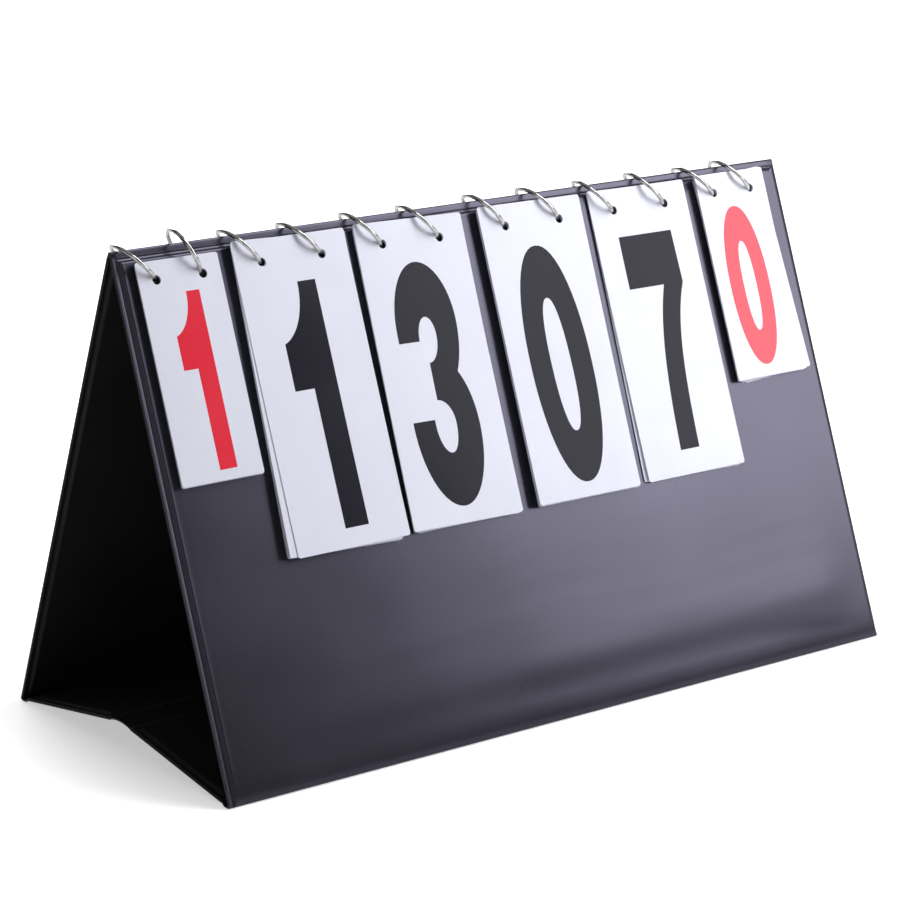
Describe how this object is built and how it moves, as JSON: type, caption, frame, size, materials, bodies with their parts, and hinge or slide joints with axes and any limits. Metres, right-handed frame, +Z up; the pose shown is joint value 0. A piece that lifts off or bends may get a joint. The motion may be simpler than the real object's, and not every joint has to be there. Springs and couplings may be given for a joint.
{
  "type": "tabletop scoreboard",
  "caption": "Folding tabletop scoreboard: a padded vinyl tent with numbered flip cards hung over its ridge on metal rings.",
  "frame": {"origin": "on the table, below the middle of the ridge", "axes": "+X along the ridge to the right as the front is read, -Y out of the front face, +Z up"},
  "size_m": [0.38, 0.1704, 0.2352],
  "materials": {
    "cover_vinyl": "fine-grained black vinyl with a soft sheen",
    "lining_vinyl": "matt black vinyl",
    "greyboard": "pressed greyboard, sealed inside the vinyl",
    "card_plastic": "smooth white plastic sheet with printed numbers",
    "ring_metal": "bright nickel-plated wire"
  },
  "bodies": {
    "front_panel": {"front_panel_cover": "cover_vinyl", "front_panel_board": "greyboard", "front_panel_lining": "lining_vinyl", "ridge_strip": "cover_vinyl", "front_foot_strip": "cover_vinyl", "home_set_front_cards": "card_plastic", "home_tens_loose_card_1": "card_plastic", "home_tens_loose_card_2": "card_plastic", "home_tens_front_cards": "card_plastic", "home_units_loose_card_1": "card_plastic", "home_units_front_cards": "card_plastic", "guest_tens_front_cards": "card_plastic", "guest_units_loose_card_1": "card_plastic", "guest_units_front_cards": "card_plastic", "guest_set_loose_card_1": "card_plastic", "guest_set_loose_card_2": "card_plastic", "guest_set_front_cards": "card_plastic"},
    "back_panel": {"back_panel_cover": "cover_vinyl", "back_panel_board": "greyboard", "back_panel_lining": "lining_vinyl", "back_foot_strip": "cover_vinyl", "home_set_turned_card_1": "card_plastic", "home_tens_turned_card_1": "card_plastic", "home_units_turned_card_1": "card_plastic", "home_units_turned_card_2": "card_plastic", "home_units_turned_card_3": "card_plastic", "guest_units_turned_cards": "card_plastic"},
    "front_flap": {"front_flap_cover": "cover_vinyl", "front_flap_board": "greyboard", "front_flap_lining": "lining_vinyl", "front_flap_knee_web": "cover_vinyl"},
    "back_flap": {"back_flap_cover": "cover_vinyl", "back_flap_board": "greyboard", "back_flap_lining": "lining_vinyl", "back_flap_knee_web": "cover_vinyl"},
    "home_set_rings": {"home_set_left_ring": "ring_metal", "home_set_right_ring": "ring_metal"},
    "home_set_top": {"home_set_top_card": "card_plastic"},
    "home_tens_rings": {"home_tens_left_ring": "ring_metal", "home_tens_right_ring": "ring_metal"},
    "home_tens_top": {"home_tens_top_card": "card_plastic"},
    "home_units_rings": {"home_units_left_ring": "ring_metal", "home_units_right_ring": "ring_metal"},
    "home_units_top": {"home_units_top_card": "card_plastic"},
    "guest_tens_rings": {"guest_tens_left_ring": "ring_metal", "guest_tens_right_ring": "ring_metal"},
    "guest_tens_top": {"guest_tens_top_card": "card_plastic"},
    "guest_units_rings": {"guest_units_left_ring": "ring_metal", "guest_units_right_ring": "ring_metal"},
    "guest_units_top": {"guest_units_top_card": "card_plastic"},
    "guest_set_rings": {"guest_set_left_ring": "ring_metal", "guest_set_right_ring": "ring_metal"},
    "guest_set_top": {"guest_set_top_card": "card_plastic"}
  },
  "joints": [
    {"name": "ridge_fold", "type": "hinge", "parent": "front_panel", "child": "back_panel", "pos_m": [0, 0, 0.22039], "axis": [-1, 0, 0], "range_deg": [0, 27.5]},
    {"name": "front_flap_fold", "type": "hinge", "parent": "front_panel", "child": "front_flap", "pos_m": [0, -0.08249, 0.00294], "axis": [1, 0, 0], "range_deg": [0, 59.5], "deforming": ["front_flap_knee_web"]},
    {"name": "back_flap_fold", "type": "hinge", "parent": "back_panel", "child": "back_flap", "pos_m": [0, 0.08249, 0.00294], "axis": [-1, 0, 0], "range_deg": [0, 59.5], "deforming": ["back_flap_knee_web"]},
    {"name": "home_set_ring_turn", "type": "hinge", "parent": "front_panel", "child": "home_set_rings", "pos_m": [-0.1608, 0, 0.22189], "axis": [-1, 0, 0], "range_deg": [0, 280]},
    {"name": "home_set_card_turn", "type": "hinge", "parent": "home_set_rings", "child": "home_set_top", "pos_m": [-0.1608, -0.00873, 0.21309], "axis": [-1, 0, 0], "range_deg": [0, 38.2]},
    {"name": "home_tens_ring_turn", "type": "hinge", "parent": "front_panel", "child": "home_tens_rings", "pos_m": [-0.1032, 0, 0.22189], "axis": [-1, 0, 0], "range_deg": [0, 275.9]},
    {"name": "home_tens_card_turn", "type": "hinge", "parent": "home_tens_rings", "child": "home_tens_top", "pos_m": [-0.1032, -0.00934, 0.21374], "axis": [-1, 0, 0], "range_deg": [0, 42.3]},
    {"name": "home_units_ring_turn", "type": "hinge", "parent": "front_panel", "child": "home_units_rings", "pos_m": [-0.0378, 0, 0.22189], "axis": [-1, 0, 0], "range_deg": [0, 276.1]},
    {"name": "home_units_card_turn", "type": "hinge", "parent": "home_units_rings", "child": "home_units_top", "pos_m": [-0.0378, -0.00873, 0.21309], "axis": [-1, 0, 0], "range_deg": [0, 42.1]},
    {"name": "guest_tens_ring_turn", "type": "hinge", "parent": "front_panel", "child": "guest_tens_rings", "pos_m": [0.0311, 0, 0.22189], "axis": [-1, 0, 0], "range_deg": [0, 275.6]},
    {"name": "guest_tens_card_turn", "type": "hinge", "parent": "guest_tens_rings", "child": "guest_tens_top", "pos_m": [0.0311, -0.00964, 0.21408], "axis": [-1, 0, 0], "range_deg": [0, 42.5]},
    {"name": "guest_units_ring_turn", "type": "hinge", "parent": "front_panel", "child": "guest_units_rings", "pos_m": [0.0982, 0, 0.22189], "axis": [-1, 0, 0], "range_deg": [0, 276]},
    {"name": "guest_units_card_turn", "type": "hinge", "parent": "guest_units_rings", "child": "guest_units_top", "pos_m": [0.0982, -0.00745, 0.21197], "axis": [-1, 0, 0], "range_deg": [0, 42.2]},
    {"name": "guest_set_ring_turn", "type": "hinge", "parent": "front_panel", "child": "guest_set_rings", "pos_m": [0.156, 0, 0.22189], "axis": [-1, 0, 0], "range_deg": [0, 279.8]},
    {"name": "guest_set_card_turn", "type": "hinge", "parent": "guest_set_rings", "child": "guest_set_top", "pos_m": [0.156, -0.00904, 0.2134], "axis": [-1, 0, 0], "range_deg": [0, 38.3]}
  ],
  "couplings": [
    {"joint": "front_flap_fold", "follows": "ridge_fold", "ratio": 2.16},
    {"joint": "back_flap_fold", "follows": "ridge_fold", "ratio": 2.16},
    {"joint": "home_set_card_turn", "follows": "home_set_ring_turn", "ratio": 0.13577},
    {"joint": "home_tens_card_turn", "follows": "home_tens_ring_turn", "ratio": 0.15269},
    {"joint": "home_units_card_turn", "follows": "home_units_ring_turn", "ratio": 0.15158},
    {"joint": "guest_tens_card_turn", "follows": "guest_tens_ring_turn", "ratio": 0.15359},
    {"joint": "guest_units_card_turn", "follows": "guest_units_ring_turn", "ratio": 0.15202},
    {"joint": "guest_set_card_turn", "follows": "guest_set_ring_turn", "ratio": 0.13634}
  ]
}
